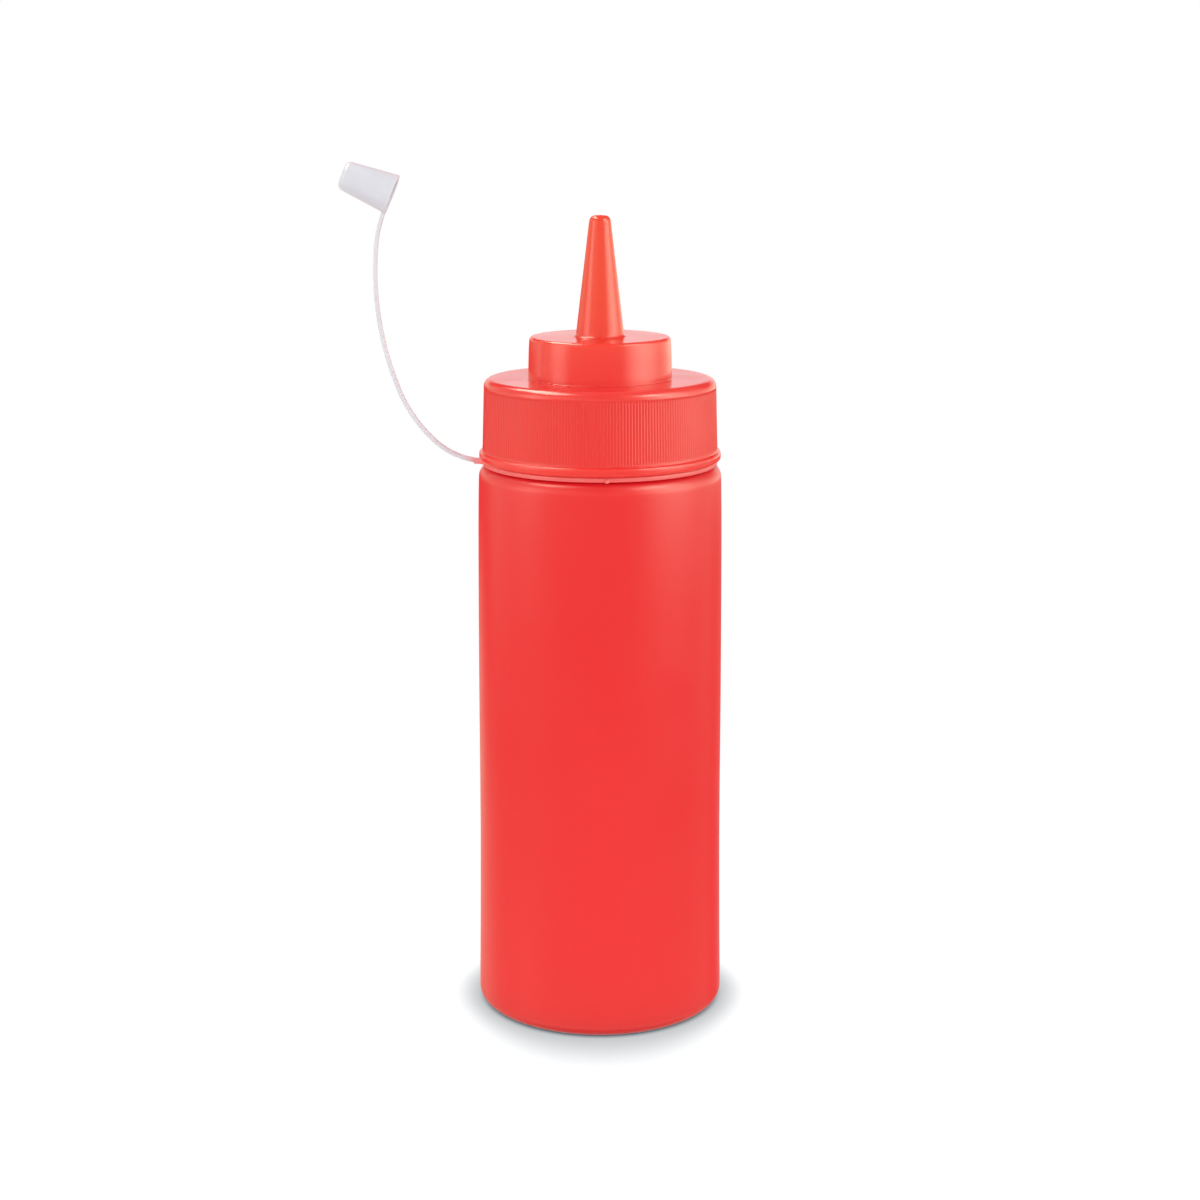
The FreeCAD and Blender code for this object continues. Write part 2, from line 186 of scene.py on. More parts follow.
# %% The bottle's surface
def side_relief(angle, radius, height):
    """What the side departs from its cone by: a shallow bell-shaped sag round one
    height, a draw towards the shoulder that grows exponentially, and a parting line on
    either side, a narrow ridge where y is near 0. All of it fades out over the
    shoulder's rounding and over the last SAG_FADE above the foot."""
    sag = -SIDE_SAG * np.exp(-(((height - SAG_HEIGHT) / SAG_REACH) ** 2))
    draw = -CROWN_DROP * np.exp((height - SHOULDER) / CROWN_REACH)
    from_line = radius * np.sin(angle)
    ridge = PARTING_RISE * np.exp(-((from_line / PARTING_WIDTH) ** 2)) - PARTING_RISE
    over_foot = np.clip((height - BASE_ROUND) / SAG_FADE, 0, 1)
    on_shoulder = np.clip((radius - SHOULDER_RADIUS) / SHOULDER_ROUND + 1, 0, 1)
    return over_foot * on_shoulder * (sag + draw + ridge)


def pinch_ridge(points, reach):
    """How far the pinched-off ridge stands down from the pan: a bell across y, which
    fades out over PINCH_FADE at its ends along x."""
    along = np.clip((reach - np.abs(points[:, 0])) / PINCH_FADE, 0, 1)
    in_pan = np.hypot(points[:, 0], points[:, 1]) < reach
    bell = np.exp(-((points[:, 1] / PINCH_WIDTH) ** 2))
    return np.where(in_pan & (points[:, 2] < 2 * PAN_DEPTH), PINCH_DEPTH * along * bell, 0)


def make_bottle():
    """The bottle turned from its half section, foot to neck, with closed poles."""
    pan_radius = FOOT_RADIUS - BASE_ROUND - STANDING_WIDTH
    corners = [
        (0, PAN_DEPTH, 0),
        (pan_radius - PAN_DEPTH, PAN_DEPTH, PAN_ROUND),
        (pan_radius, 0, PAN_ROUND),
        (FOOT_RADIUS, 0, BASE_ROUND),
        (SHOULDER_RADIUS, SHOULDER, SHOULDER_ROUND),
        (NECK_RADIUS, SHOULDER, NECK_FILLET),
        (NECK_RADIUS, bottle_high.z, NECK_ROUND),
        (0, bottle_high.z, 0),
    ]
    profile = rounded_profile(corners, arc_steps=10, side_steps=24)
    columns = BOTTLE_COLUMNS
    points = turned_points(profile[1:-1], columns, side_relief)
    rows = len(profile) - 2
    count = len(points)
    poles = np.array([[0, 0, profile[0, 1]], [0, 0, profile[-1, 1]]])
    points = np.concatenate([points, poles])
    points[:, 2] -= pinch_ridge(points, pan_radius - PAN_DEPTH - PINCH_MARGIN)
    return make_piece(
        "bottle_shell",
        points,
        wrapped_quads(rows, columns),
        pole_fan(count, 0, columns, upward=False),
        pole_fan(count + 1, count - columns, columns, upward=True),
    )


bottle = make_bottle()
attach(bottle, "root")
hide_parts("bottle")

# %% [markdown]
# ## The lid
# The lid is turned as well, but its skirt carries 240 fine grip ribs. They could be a
# bump map, yet a bump gives no outline and no real shadow, so they are mesh: the radius
# falls by a cosine of the angle. Ribs need four columns each. The step and the nozzle
# don't, so the flat top changes from 960 columns to 240 in one seam of triangles. The
# step's side leans in a little and bends in once more near its top, on a wide arc.

# %% Lid sizes
LID_HEIGHT = 22.9 * MM
LID_FOOT = lid_low.z
LID_TOP = LID_FOOT + LID_HEIGHT
LID_ROUND = 2.2 * MM
ROOF_UNDERSIDE = bottle_high.z
SOCKET_CLEARANCE = 0.4 * MM
SOCKET_RADIUS = NECK_RADIUS + SOCKET_CLEARANCE
SOCKET_ROUND = 0.3 * MM
MOUTH_ROUND = 0.2 * MM
BEAD_RADIUS = lid_high.x
BEAD_OVERHANG = 0.9 * MM
BEAD_HEIGHT = 2.3 * MM
BEAD_SLOPE = 0.3 * MM
BEAD_ROUND = 0.8 * MM
BEAD_FILLET = 0.1 * MM
SKIRT_DRAFT = 0.6 * MM
SKIRT_FOOT_RADIUS = BEAD_RADIUS - BEAD_OVERHANG
SKIRT_TOP_RADIUS = SKIRT_FOOT_RADIUS - SKIRT_DRAFT
print(f"lid: foot at {LID_FOOT / MM:.1f} mm, flat top at {LID_TOP / MM:.1f} mm")

# %% Rib sizes
RIB_COUNT = 240
RIB_DEPTH = 0.18 * MM
RIB_RELIEF = 0.03 * MM
RIB_MARGIN = 0.2 * MM
RIB_FADE = 0.5 * MM
RIBS_LOW = LID_FOOT + BEAD_HEIGHT + BEAD_SLOPE + RIB_MARGIN
RIBS_HIGH = LID_TOP - LID_ROUND - RIB_MARGIN
print(f"ribs: {RIB_COUNT}, from {RIBS_LOW / MM:.1f} to {RIBS_HIGH / MM:.1f} mm")

# %% Step and nozzle sizes
STEP_RADIUS = 20.2 * MM
STEP_HEIGHT = 11.65 * MM
STEP_DRAFT = 0.3 * MM
STEP_TOP = LID_TOP + STEP_HEIGHT
STEP_ROUND = 1.0 * MM
STEP_FILLET = 0.15 * MM
BEND_INSET = 0.22 * MM
BEND_DROP = 3.4 * MM
BEND_RADIUS = 60 * MM
BEND_DRAFT = 0.15 * MM
NOZZLE_RADIUS = 6.8 * MM
NOZZLE_FILLET = 1.0 * MM
TIP_RADIUS = 2.85 * MM
TIP_ROUND = 1.8 * MM
OUTLET_RADIUS = 0.8 * MM
OUTLET_DEPTH = 16 * MM
OUTLET_EDGE = 0.15 * MM
OUTLET_ROUND = 0.2 * MM
OUTLET_FLOOR = lid_high.z - OUTLET_DEPTH
SEAM_RADIUS = STEP_RADIUS + 2.0 * MM
FIRST_COARSE_RADIUS = STEP_RADIUS + 1.0 * MM
print(f"step: top at {STEP_TOP / MM:.1f} mm, nozzle's tip at {lid_high.z / MM:.1f} mm")

# %% The lid's surface
def rib_relief(angle, radius, height):
    """Ribs as a cosine of the angle, RIB_COUNT to a turn, between RIBS_LOW and
    RIBS_HIGH, fading out over RIB_FADE at both ends. The socket inside has none."""
    low = np.clip((height - RIBS_LOW) / RIB_FADE, 0, 1)
    high = np.clip((RIBS_HIGH - height) / RIB_FADE, 0, 1)
    shown = low * high
    shown = shown * shown * (3 - 2 * shown)
    wave = (1 - np.cos(RIB_COUNT * angle)) / 2
    outside = radius > SOCKET_RADIUS + RIB_RELIEF
    return np.where(outside, -shown * (RIB_RELIEF + RIB_DEPTH * wave), 0)


def seam_triangles(fine, coarse, count, ratio):
    """Joins a row of count * ratio points to the row of count points inside it: each
    coarse point takes its nearest fine ones, and one triangle bridges two fans."""
    cell = np.arange(count)
    corner = coarse + cell
    following = coarse + (cell + 1) % count
    rim = [fine + (cell * ratio + step) % (count * ratio) for step in range(ratio + 1)]
    half = ratio // 2
    fans = [np.stack([rim[s], rim[s + 1], corner], -1) for s in range(half)]
    fans += [np.stack([rim[s], rim[s + 1], following], -1) for s in range(half, ratio)]
    bridge = np.stack([rim[half], following, corner], -1)
    return np.concatenate([*fans, bridge])


def ribbed_rows(profile):
    """The profile with its rows on the ribs replaced by rows at both fades. One row lies
    just inside each fade, so that the long wall between stays flatly shaded."""
    radius, height = profile.T
    on_ribs = (radius > SOCKET_RADIUS) & (height > RIBS_LOW) & (height < RIBS_HIGH)
    first = np.argmax(on_ribs)
    last = len(on_ribs) - np.argmax(on_ribs[::-1])
    shares = np.array([0, 0.5, 1, 1.5])
    foot_levels = RIBS_LOW + RIB_FADE * shares
    top_levels = RIBS_HIGH - RIB_FADE * shares[::-1]
    levels = np.concatenate([foot_levels, top_levels])
    ends = [first - 1, last]
    radii = np.interp(levels, height[ends], radius[ends])
    return np.concatenate([profile[:first], np.stack([radii, levels], -1), profile[last:]])


def make_lid():
    """Skirt and top from one half section, cut at SEAM_RADIUS on the flat top: outside
    it the rows have four points to a rib, inside it one."""
    skirt = ribbed_rows(rounded_profile([
        (0, ROOF_UNDERSIDE, 0),
        (SOCKET_RADIUS, ROOF_UNDERSIDE, SOCKET_ROUND),
        (SOCKET_RADIUS, LID_FOOT, MOUTH_ROUND),
        (BEAD_RADIUS, LID_FOOT, BEAD_ROUND),
        (BEAD_RADIUS, LID_FOOT + BEAD_HEIGHT, BEAD_ROUND),
        (SKIRT_FOOT_RADIUS, LID_FOOT + BEAD_HEIGHT + BEAD_SLOPE, BEAD_FILLET),
        (SKIRT_TOP_RADIUS, LID_TOP, LID_ROUND),
        (SEAM_RADIUS, LID_TOP, 0),
    ], arc_steps=6, side_steps=3))
    top = rounded_profile([
        (FIRST_COARSE_RADIUS, LID_TOP, 0),
        (STEP_RADIUS, LID_TOP, STEP_FILLET),
        (STEP_RADIUS - BEND_INSET, STEP_TOP - BEND_DROP, BEND_RADIUS),
        (STEP_RADIUS - STEP_DRAFT - BEND_DRAFT, STEP_TOP, STEP_ROUND),
        (NOZZLE_RADIUS, STEP_TOP, NOZZLE_FILLET),
        (TIP_RADIUS, lid_high.z, TIP_ROUND),
        (OUTLET_RADIUS, lid_high.z, OUTLET_EDGE),
        (OUTLET_RADIUS, OUTLET_FLOOR, OUTLET_ROUND),
        (0, OUTLET_FLOOR, 0),
    ], arc_steps=8, side_steps=6)
    ratio = 4
    fine = RIB_COUNT * ratio
    skirt_points = turned_points(skirt[1:], fine, rib_relief)
    top_points = turned_points(top[:-1], RIB_COUNT)
    start = len(skirt_points)
    count = start + len(top_points)
    poles = np.array([[0, 0, ROOF_UNDERSIDE], [0, 0, OUTLET_FLOOR]])
    return make_piece(
        "lid_shell",
        np.concatenate([skirt_points, top_points, poles]),
        wrapped_quads(len(skirt) - 1, fine),
        wrapped_quads(len(top) - 1, RIB_COUNT, start),
        seam_triangles(start - fine, start, RIB_COUNT, ratio),
        pole_fan(count, 0, fine, upward=False),
        pole_fan(count + 1, count - RIB_COUNT, RIB_COUNT, upward=True),
    )


lid = make_lid()
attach(lid, "root")
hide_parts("lid")

# %% [markdown]
# ## The ring with its web
# The ring lies loose under the lid. Where the strap leaves it, it widens into a short
# web with a blend on each side. Two pipes and a boolean could make it; here its plan
# outline is one curve, and a rounded section is carried round between that outline and
# the bore, so that there is no join to shade badly.

# %% Ring sizes
RING_GAP = 0.3 * MM
RING_INSET = 1.0 * MM
RING_BORE = NECK_RADIUS + RING_GAP
RING_RADIUS = BEAD_RADIUS - RING_INSET
RING_THICKNESS = 1.3 * MM
RING_MIDDLE = SHOULDER + RING_THICKNESS / 2
EDGE = 0.3 * MM
WEB_LENGTH = 2.6 * MM
WEB_REACH = RING_RADIUS + WEB_LENGTH
WEB_ROUND = 2.5 * MM
STRAP_WIDTH = 3.0 * MM
print(f"ring: {RING_BORE / MM:.1f} to {RING_RADIUS / MM:.1f} mm, web out to {WEB_REACH / MM:.1f} mm")


# %% A rounded section
def rounded_section(width, thickness, rounding, arc_steps=4):
    """A rounded rectangle as a loop of (across, up), anticlockwise: four quarter arcs
    whose centres lie one rounding inside the corners."""
    quarter = np.arange(4)[:, None]
    angle = (quarter + np.linspace(0, 1, arc_steps + 1)[None, :]) * np.pi / 2
    right = np.where((quarter == 0) | (quarter == 3), 1, -1)
    upper = np.where(quarter < 2, 1, -1)
    across = right * (width / 2 - rounding) + rounding * np.cos(angle)
    up = upper * (thickness / 2 - rounding) + rounding * np.sin(angle)
    return np.stack([across, up], -1).reshape(-1, 2)


# %% The ring's surface
def web_outline():
    """Plan outline, anticlockwise from the web's end. Half of it is worked out and
    mirrored: the web's rounded corner, the blend and the ring. The blend's centre lies
    WEB_ROUND beyond the web's side and WEB_ROUND outside the ring, so its arc touches
    both."""
    side = STRAP_WIDTH / 2
    lift = side + WEB_ROUND
    reach = np.sqrt((RING_RADIUS + WEB_ROUND) ** 2 - lift**2)
    meeting = np.arctan2(lift, reach)
    corner = np.linspace(0, np.pi / 2, 6)
    blend = np.linspace(-np.pi / 2, meeting - np.pi, 14)
    ring = np.linspace(meeting, np.pi, 180)[1:-1]
    stretches = [
        (WEB_REACH - EDGE, side - EDGE, EDGE, corner),
        (reach, lift, WEB_ROUND, blend),
        (0, 0, RING_RADIUS, ring),
    ]
    half = np.concatenate([
        np.stack([x + radius * np.cos(turn), y + radius * np.sin(turn)], -1)
        for x, y, radius, turn in stretches
    ])
    ends = np.array([[WEB_REACH, 0], [-RING_RADIUS, 0]])
    outline = np.concatenate([ends[:1], half, ends[1:], half[::-1] * [1, -1]])
    return -outline


def make_ring():
    """The section's outer half is measured in from the outline, and its inner half out
    from the bore, both along the line to the axis."""
    outline = web_outline()
    outward = outline / np.linalg.norm(outline, axis=1)[:, None]
    width = RING_RADIUS - RING_BORE
    section = rounded_section(width, RING_THICKNESS, EDGE)
    across = section[:, :1, None]
    outer = outline + (across - width / 2) * outward
    inner = (RING_BORE + across + width / 2) * outward
    plan = np.where(across > 0, outer, inner)
    height = np.broadcast_to(RING_MIDDLE + section[:, 1:, None], plan[..., :1].shape)
    points = np.concatenate([plan, height], -1).reshape(-1, 3)
    quads = wrapped_quads(len(section), len(outline), closed=True)
    return make_piece("tether_ring", points, quads)


ring = make_ring()

# %% [markdown]
# ## The strap
# The strap is a flat ribbon of plastic, stiff enough to stand in the curve it cooled in.
# It could be a curve object with a bevel, but the bevel would twist freely; here the
# section is carried along the path with its width always across the bottle's plane.
# The path is four arcs, each tangent to the last.

# %% Strap sizes
STRAP_THICKNESS = 1.05 * MM
STRAP_EDGE = 0.25 * MM
ROOT_DEPTH = 1.0 * MM
STRAP_ROOT = RING_RADIUS - ROOT_DEPTH
BENDS = np.array([21.2, 40.2, 86.5, 35.1]) * MM
TURNS = np.radians([43.0, 25.6, 26.8, 16.6])
STRAP_BITE = 0.6 * MM
print(f"strap: {BENDS @ TURNS / MM:.1f} mm long")


# %% The strap's surface
def strap_path(steps=28):
    """Points, travel directions and outer normals. With the heading t, an arc of radius
    R moves the strap by R (sin a - sin t) in x and R (cos a - cos t) in z from where
    its heading was a."""
    place = np.array([-STRAP_ROOT, RING_MIDDLE])
    heading = 0.0
    places, headings = [place[None]], [np.zeros(1)]
    for radius, turn in zip(BENDS, TURNS):
        now = heading + np.linspace(0, turn, steps + 1)[1:]
        moved = [np.sin(heading) - np.sin(now), np.cos(heading) - np.cos(now)]
        places.append(place + radius * np.stack(moved, -1))
        headings.append(now)
        place, heading = places[-1][-1], now[-1]
    places, headings = np.concatenate(places), np.concatenate(headings)
    zero = np.zeros(len(headings))
    path = np.stack([places[:, 0], zero, places[:, 1]], -1)
    travel = np.stack([-np.cos(headings), zero, np.sin(headings)], -1)
    normal = np.stack([np.sin(headings), zero, np.cos(headings)], -1)
    return path, travel, normal


def make_strap():
    """A rounded section carried along the path: across runs along Y, up along the
    normal. Both ends are closed by fans."""
    path, _, normal = strap_path()
    section = rounded_section(STRAP_WIDTH, STRAP_THICKNESS, STRAP_EDGE)
    side = np.array([0, -1, 0])
    grid = path[:, None] + section[None, :, :1] * side + section[None, :, 1:] * normal[:, None]
    rows, columns = grid.shape[:2]
    points = np.concatenate([grid.reshape(-1, 3), path[:1], path[-1:]])
    count = rows * columns
    return make_piece(
        "tether_strap",
        points,
        wrapped_quads(rows, columns),
        pole_fan(count, 0, columns, upward=False),
        pole_fan(count + 1, count - columns, columns, upward=True),
    )


strap = make_strap()

# %% [markdown]
# ## The tip cap
# The cap is a small tapered cup, turned round its own slanted axis. Its inside follows
# the nozzle's cone, and its mouth lies in the plane of the strap's outer face, because
# strap and cap are moulded in the same tool. It is open, so inside and outside are one
# closed surface with the mouth's rim between them.

# %% Tip cap sizes
CAP_CLEARANCE = 0.2 * MM
CAP_DEPTH = 13.8 * MM
CAP_WALL = 0.95 * MM
CAP_ROUND = 1.5 * MM
CAP_INNER_ROUND = 0.6 * MM
CAP_RIM_ROUND = 0.15 * MM
TAPER = (NOZZLE_RADIUS - TIP_RADIUS) / (lid_high.z - STEP_TOP)
END_BORE = TIP_RADIUS + CAP_CLEARANCE
MOUTH_BORE = END_BORE + CAP_DEPTH * TAPER
MOUTH_RADIUS = MOUTH_BORE + CAP_WALL
print(f"tip cap: mouth {2 * MOUTH_RADIUS / MM:.1f} mm across, {CAP_DEPTH / MM:.1f} mm deep")


# %% The tip cap's surface
def make_tip_cap():
    """The cap's half section runs over (radius, way out of the mouth). It is turned
    round Z and then laid over so that Z follows the strap's outer normal: the rows of
    the rotation are the directions that X, Y and Z get."""
    path, travel, normal = strap_path()
    out = normal[-1]
    reach = MOUTH_RADIUS - STRAP_BITE
    centre = path[-1] + out * STRAP_THICKNESS / 2 + travel[-1] * reach
    profile = rounded_profile([
        (0, -CAP_DEPTH - CAP_WALL, 0),
        (END_BORE + CAP_WALL, -CAP_DEPTH - CAP_WALL, CAP_ROUND),
        (MOUTH_RADIUS, 0, CAP_RIM_ROUND),
        (MOUTH_BORE, 0, CAP_RIM_ROUND),
        (END_BORE, -CAP_DEPTH, CAP_INNER_ROUND),
        (0, -CAP_DEPTH, 0),
    ], arc_steps=8, side_steps=8)
    columns = 96
    points = turned_points(profile[1:-1], columns)
    count = len(points)
    poles = np.array([[0, 0, profile[0, 1]], [0, 0, profile[-1, 1]]])
    lie = np.stack([np.cross([0, 1, 0], out), [0, 1, 0], out])
    points = np.concatenate([points, poles]) @ lie + centre
    return make_piece(
        "tip_cap",
        points,
        wrapped_quads(len(profile) - 2, columns),
        pole_fan(count, 0, columns, upward=False),
        pole_fan(count + 1, count - columns, columns, upward=True),
    )


tip_cap = make_tip_cap()


# %% The moulding pip
PIP_RADIUS = 0.75 * MM
PIP_SQUASH = [1.0, 0.9, 0.8]
PIP_TURN = np.radians(3.3)
PIP_REACH = RING_RADIUS + 0.2 * MM
PIP_HEIGHT = RING_MIDDLE - 0.3 * MM


def make_pip():
    """A pip where the ring was cut off its runner: a ball, a little flattened, whose
    half section is a half circle."""
    rise = np.linspace(-np.pi / 2, np.pi / 2, 14)
    profile = PIP_RADIUS * np.stack([np.cos(rise), np.sin(rise)], -1)
    columns = 20
    points = turned_points(profile[1:-1], columns)
    count = len(points)
    poles = np.array([[0, 0, -PIP_RADIUS], [0, 0, PIP_RADIUS]])
    spot = [PIP_REACH * np.sin(PIP_TURN), -PIP_REACH * np.cos(PIP_TURN), PIP_HEIGHT]
    return make_piece(
        "tether_pip",
        np.concatenate([points, poles]) * PIP_SQUASH + np.array(spot),
        wrapped_quads(len(profile) - 2, columns),
        pole_fan(count, 0, columns, upward=False),
        pole_fan(count + 1, count - columns, columns, upward=True),
    )


pip = make_pip()
for piece in (ring, strap, tip_cap, pip):
    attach(piece, "root")
    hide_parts("tether")

# %% [markdown]
# ## Finishes
# Coloured polyethylene is satin, not glassy, and light goes a few millimetres into it.
# That is the Principled shader with some subsurface: red travels furthest. A flat colour
# would look like paint, so each finish also gets slow patches of colour and roughness
# and a very fine orange peel, all from noise on Object coordinates. The lid's skirt came
# from a duller part of its mould than the polished top and nozzle, so it has a second
# finish.

# %% Node helpers
def new_finish(name):
    """A material with an empty tree but for a Principled shader; returns both."""
    material = bpy.data.materials.new(name)
    material.use_nodes = True
    shader = material.node_tree.nodes["Principled BSDF"]
    return material, shader


def noise(material, scale, detail=2.0, stretch=(1, 1, 1)):
    """The value of a noise on Object coordinates, scale patches to a metre."""
    nodes, links = material.node_tree.nodes, material.node_tree.links
    place = nodes.new("ShaderNodeTexCoord")
    mapping = nodes.new("ShaderNodeMapping")
    mapping.inputs["Scale"].default_value = stretch
    texture = nodes.new("ShaderNodeTexNoise")
    texture.inputs["Scale"].default_value = scale
    texture.inputs["Detail"].default_value = detail
    links.new(place.outputs["Object"], mapping.inputs["Vector"])
    links.new(mapping.outputs["Vector"], texture.inputs["Vector"])
    return texture.outputs["Fac"]


def spread(material, value, low, high):
    """Maps a noise, most of which lies from 0.2 to 0.8, to the range from low to high."""
    ranged = material.node_tree.nodes.new("ShaderNodeMapRange")
    ranged.interpolation_type = "SMOOTHSTEP"
    ranged.inputs["From Min"].default_value = 0.2
    ranged.inputs["From Max"].default_value = 0.8
    ranged.inputs["To Min"].default_value = low
    ranged.inputs["To Max"].default_value = high
    material.node_tree.links.new(value, ranged.inputs["Value"])
    return ranged.outputs["Result"]


def colour_mix(tree, share, first, second):
    """A colour between two sockets, colours or grey levels as the share goes from 0 to
    1."""
    mix = tree.nodes.new("ShaderNodeMix")
    mix.data_type = "RGBA"
    tree.links.new(share, mix.inputs["Factor"])
    for socket, value in ((mix.inputs["A"], first), (mix.inputs["B"], second)):
        if isinstance(value, bpy.types.NodeSocket):
            tree.links.new(value, socket)
        else:
            socket.default_value = (*value, 1)
    return mix.outputs["Result"]


def roughen(material, shader, value, depth):
    """A bump from a value, depth metres high."""
    bump = material.node_tree.nodes.new("ShaderNodeBump")
    bump.inputs["Strength"].default_value = 1.0
    bump.inputs["Distance"].default_value = depth
    material.node_tree.links.new(value, bump.inputs["Height"])
    material.node_tree.links.new(bump.outputs["Normal"], shader.inputs["Normal"])


def height_share(material, low, high):
    """0 below one height of the piece, 1 above another, and a smooth step between."""
    nodes, links = material.node_tree.nodes, material.node_tree.links
    place = nodes.new("ShaderNodeTexCoord")
    parts = nodes.new("ShaderNodeSeparateXYZ")
    ranged = nodes.new("ShaderNodeMapRange")
    ranged.interpolation_type = "SMOOTHSTEP"
    ranged.inputs["From Min"].default_value = low
    ranged.inputs["From Max"].default_value = high
    links.new(place.outputs["Object"], parts.inputs["Vector"])
    links.new(parts.outputs["Z"], ranged.inputs["Value"])
    return ranged.outputs["Result"]


def reach_share(material, low, high):
    """The same for the distance from the bottle's axis."""
    nodes, links = material.node_tree.nodes, material.node_tree.links
    place = nodes.new("ShaderNodeTexCoord")
    level = nodes.new("ShaderNodeVectorMath")
    level.operation = "MULTIPLY"
    level.inputs[1].default_value = (1, 1, 0)
    away = nodes.new("ShaderNodeVectorMath")
    away.operation = "LENGTH"
    ranged = nodes.new("ShaderNodeMapRange")
    ranged.interpolation_type = "SMOOTHSTEP"
    ranged.inputs["From Min"].default_value = low
    ranged.inputs["From Max"].default_value = high
    links.new(place.outputs["Object"], level.inputs[0])
    links.new(level.outputs["Vector"], away.inputs[0])
    links.new(away.outputs["Value"], ranged.inputs["Value"])
    return ranged.outputs["Result"]


# %% Red polyethylene of the bottle
def bottle_finish():
    """Blown plastic: slow patches where the wall is thicker, drawn out upwards, satin
    roughness and a faint orange peel."""
    material, shader = new_finish("red_blown_plastic")
    links = material.node_tree.links
    patches = spread(material, noise(material, 28, 2, (1, 1, 0.4)), 0, 1)
    colour = colour_mix(material.node_tree, patches, (0.82, 0.009, 0.018), (0.83, 0.013, 0.022))
    links.new(colour, shader.inputs["Base Color"])
    links.new(spread(material, noise(material, 60), 0.285, 0.325), shader.inputs["Roughness"])
    shader.inputs["Subsurface Weight"].default_value = 1.0
    shader.inputs["Subsurface Radius"].default_value = (1.0, 0.5, 0.5)
    shader.inputs["Subsurface Scale"].default_value = 7 * MM
    roughen(material, shader, noise(material, 900, 3), 0.01 * MM)
    return material


# %% Red polyethylene of the lid
ORANGE_HEIGHT = STEP_TOP + 12 * MM


def lid_finish(name, roughness, specular):
    """Moulded plastic. Towards the tip the wall gets thinner, so that more light comes
    through and the red turns more orange."""
    material, shader = new_finish(name)
    tree, links = material.node_tree, material.node_tree.links
    patches = spread(material, noise(material, 45), 0, 1)
    skirt = colour_mix(tree, patches, (0.86, 0.0285, 0.0265), (0.87, 0.0365, 0.0315))
    tip = colour_mix(tree, patches, (0.83, 0.046, 0.015), (0.84, 0.054, 0.019))
    colour = colour_mix(tree, height_share(material, LID_TOP, ORANGE_HEIGHT), skirt, tip)
    links.new(colour, shader.inputs["Base Color"])
    links.new(spread(material, noise(material, 80), *roughness), shader.inputs["Roughness"])
    shader.inputs["Specular IOR Level"].default_value = specular
    shader.inputs["Subsurface Weight"].default_value = 0.6
    shader.inputs["Subsurface Radius"].default_value = (1.0, 0.4, 0.3)
    shader.inputs["Subsurface Scale"].default_value = 3 * MM
    roughen(material, shader, noise(material, 700, 2), 0.004 * MM)
    return material


# %% Natural polyethylene
# Where the painted red from the red parts is strongest, and where it has faded out.
REDDEST_REACH = RING_RADIUS - 0.3 * MM
MILKY_REACH = WEB_REACH + 3 * MM


def natural_finish():
    """Uncoloured polyethylene: milky, but it lets so much light through that it looks red where
    it lies against the red parts; that light is painted red into its colour. Going out from the
    bottle's axis, the painted red fades from REDDEST_REACH to MILKY_REACH, just past the web."""
    material, shader = new_finish("natural_plastic")
    tree, links = material.node_tree, material.node_tree.links
    patches = spread(material, noise(material, 220), 0, 1)
    milky = colour_mix(tree, patches, (0.68, 0.68, 0.73), (0.71, 0.71, 0.76))
    # Painted light: the red that comes through from the red parts underneath.
    painted_red_show_through = colour_mix(tree, patches, (0.93, 0.12, 0.115), (0.95, 0.16, 0.155))
    clear = reach_share(material, REDDEST_REACH, MILKY_REACH)
    links.new(colour_mix(tree, clear, painted_red_show_through, milky), shader.inputs["Base Color"])
    links.new(spread(material, noise(material, 300), 0.28, 0.36), shader.inputs["Roughness"])
    shader.inputs["Subsurface Weight"].default_value = 0.5
    shader.inputs["Subsurface Radius"].default_value = (1.0, 0.9, 0.9)
    shader.inputs["Subsurface Scale"].default_value = 1.5 * MM
    roughen(material, shader, noise(material, 1200, 2), 0.004 * MM)
    return material


# %% Finishes onto the pieces
SOCKET_MARGIN = 0.5 * MM


def give_ribs_their_finish():
    """Faces whose middle lies between the ribs' ends, outside the socket, get the lid's
    second finish."""
    middles = np.empty((len(lid.data.polygons), 3))
    lid.data.polygons.foreach_get("center", middles.ravel())
    outside = np.hypot(middles[:, 0], middles[:, 1]) > SOCKET_RADIUS + SOCKET_MARGIN
    between = (middles[:, 2] > RIBS_LOW) & (middles[:, 2] < RIBS_HIGH)
    lid.data.polygons.foreach_set("material_index", (outside & between).astype(np.int32))


bottle.data.materials.append(bottle_finish())
lid.data.materials.append(lid_finish("red_moulded_plastic", (0.17, 0.23), 0.5))
lid.data.materials.append(lid_finish("red_moulded_plastic_dull", (0.3, 0.36), 0.37))
give_ribs_their_finish()
natural = natural_finish()
for piece in (ring, pip, strap, tip_cap):
    piece.data.materials.append(natural)
print("finishes:", [material.name for material in bpy.data.materials if material.users])

# %% [markdown]
# ## Studio
# Goods like this are shown on plain white, in even light. A pale floor round the bottle
# carries a painted contact shadow and fades into a white surround, which gives the even
# light and two soft fills. Lamps could do all of it, but what shapes satin plastic is what it
# mirrors, so the surround has a second set of levels for reflections alone, with four
# soft boxes in front of it: a long one overhead on the left, a small one high at the
# front right, a tall one on the right and a weaker one on the left.

# %% Floor
FLOOR_SOLID = 0.11
FLOOR_END = 0.25
CONTACT_RADIUS = FOOT_RADIUS - 2.4 * MM
HUB_RADIUS = 10 * MM
# The contact shadow on the floor is painted: these are its reaches, its levels and its tint.
SHADE_SIDE = 9 * MM
SHADE_FRONT = 25 * MM
SHADE_LEVEL = 0.52
FOOT_SHADOW_LEVEL = 0.2
HUB_SHADOW_LEVEL = 0.1
SHADE_TINT = [0.03, 0.0, -0.02, 0]


def eased(value, low, high):
    """0 below low, 1 above high, and a smooth step between them: t t (3 - 2 t)."""
    t = np.clip((value - low) / (high - low), 0, 1)
    return t * t * (3 - 2 * t)


